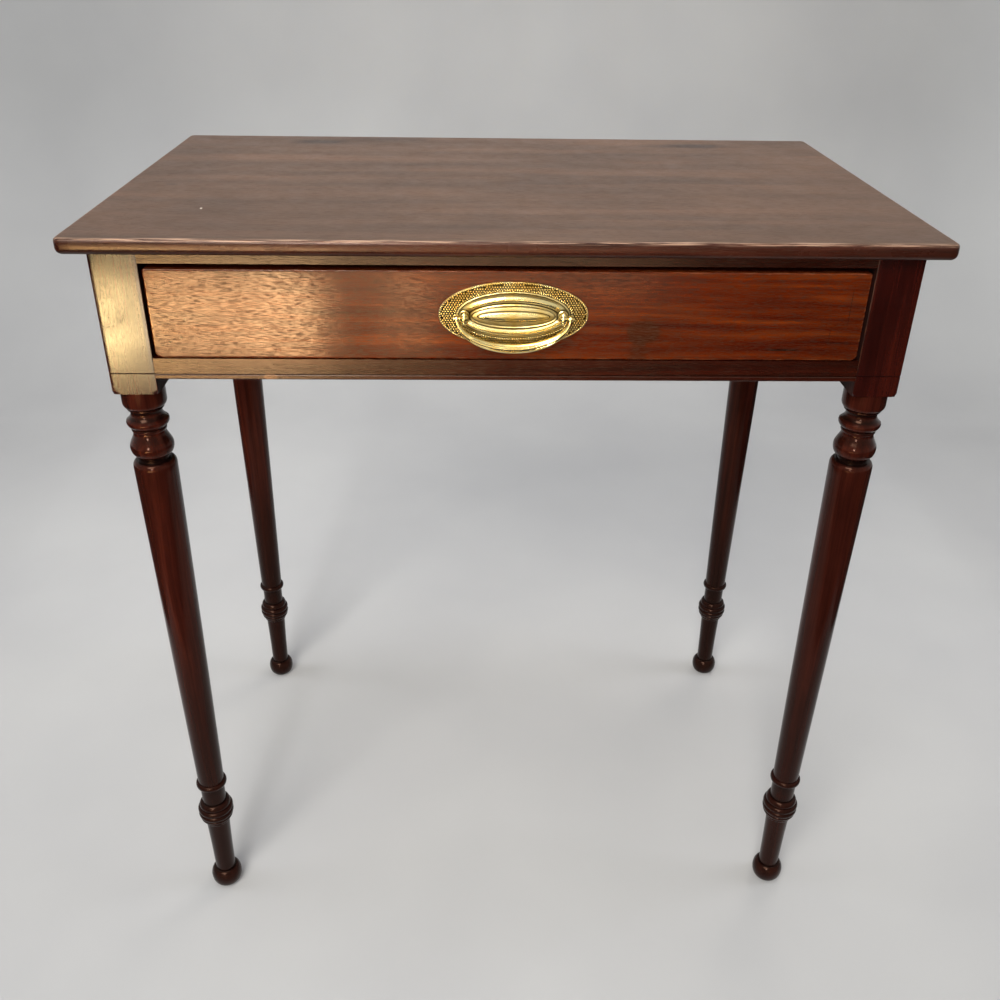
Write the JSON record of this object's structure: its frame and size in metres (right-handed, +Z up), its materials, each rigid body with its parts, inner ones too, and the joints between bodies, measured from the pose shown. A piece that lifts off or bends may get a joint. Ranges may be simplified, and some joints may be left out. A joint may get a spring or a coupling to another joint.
{
  "type": "side table",
  "caption": "Small mahogany side table with a frieze drawer that slides out, an oval brass pull with a swinging bail, and slender turned legs on ball feet.",
  "frame": {"origin": "on the floor, under the middle of the table top", "axes": "+X to the right of someone facing the drawer, +Y from the drawer front to the back, +Z up"},
  "size_m": [0.682, 0.424, 0.728],
  "materials": {
    "mahogany": "old polish, worn at the edges",
    "oak_and_pine": "bare, dusty and darkened with age",
    "brass": "stamped and polished",
    "iron": "cut nails, dull"
  },
  "bodies": {
    "frame": {"top_board": "mahogany", "front_left_leg": "mahogany", "front_right_leg": "mahogany", "rear_left_leg": "mahogany", "rear_right_leg": "mahogany", "front_top_rail": "mahogany", "front_bottom_rail": "mahogany", "left_side_rail": "mahogany", "right_side_rail": "mahogany", "back_rail": "mahogany", "left_runner": "oak_and_pine", "right_runner": "oak_and_pine", "left_guide": "oak_and_pine", "right_guide": "oak_and_pine", "left_kicker": "oak_and_pine", "right_kicker": "oak_and_pine", "drawer_stops": "oak_and_pine", "glue_blocks": "oak_and_pine"},
    "drawer": {"drawer_front": "mahogany", "drawer_left_side": "oak_and_pine", "drawer_right_side": "oak_and_pine", "drawer_back": "oak_and_pine", "drawer_bottom": "oak_and_pine", "drawer_bottom_nails": "iron", "handle_backplate": "brass", "handle_posts": "brass", "handle_nuts": "brass"},
    "bail": {"handle_bail": "brass"}
  },
  "joints": [
    {"name": "drawer_slide", "type": "slide", "parent": "frame", "child": "drawer", "axis": [0, -1, 0], "range_m": [0, 0.28]},
    {"name": "bail_swing", "type": "hinge", "parent": "drawer", "child": "bail", "pos_m": [0.0029, -0.2083, 0.6664], "axis": [-1, 0, 0], "range_deg": [-5, 180]}
  ]
}
